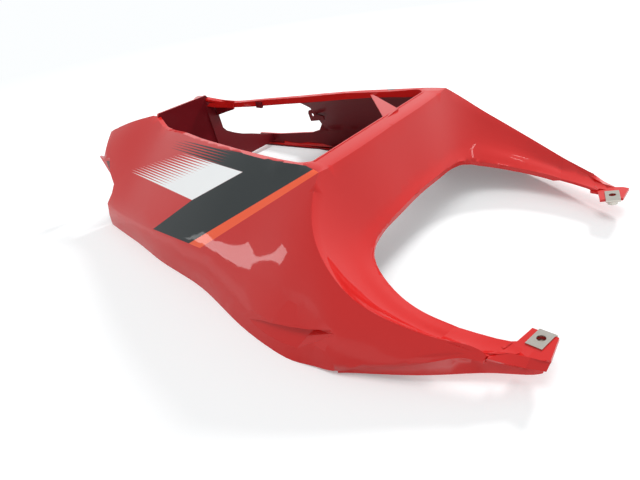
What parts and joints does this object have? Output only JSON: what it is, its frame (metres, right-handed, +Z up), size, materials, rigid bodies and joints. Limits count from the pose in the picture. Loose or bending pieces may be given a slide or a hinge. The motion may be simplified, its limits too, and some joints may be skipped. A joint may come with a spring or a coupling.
{
  "type": "motorcycle tail fairing",
  "caption": "Moulded tail fairing shell with swept rear horns, open passenger seat bay, forked front arms and spring clip nuts at the arm tips.",
  "frame": {"origin": "middle of the footprint, on the surface that the side panels' bottom edges rest on", "axes": "+X towards the front of the motorcycle, +Y to its left, +Z up"},
  "size_m": [0.5879, 0.407, 0.1209],
  "materials": {
    "painted_plastic": "glossy red paint",
    "plated_steel": "plated, slightly dull"
  },
  "bodies": {
    "root": {"tail_shell": "painted_plastic", "clip_nut_left": "plated_steel", "clip_nut_right": "plated_steel"}
  },
  "joints": []
}
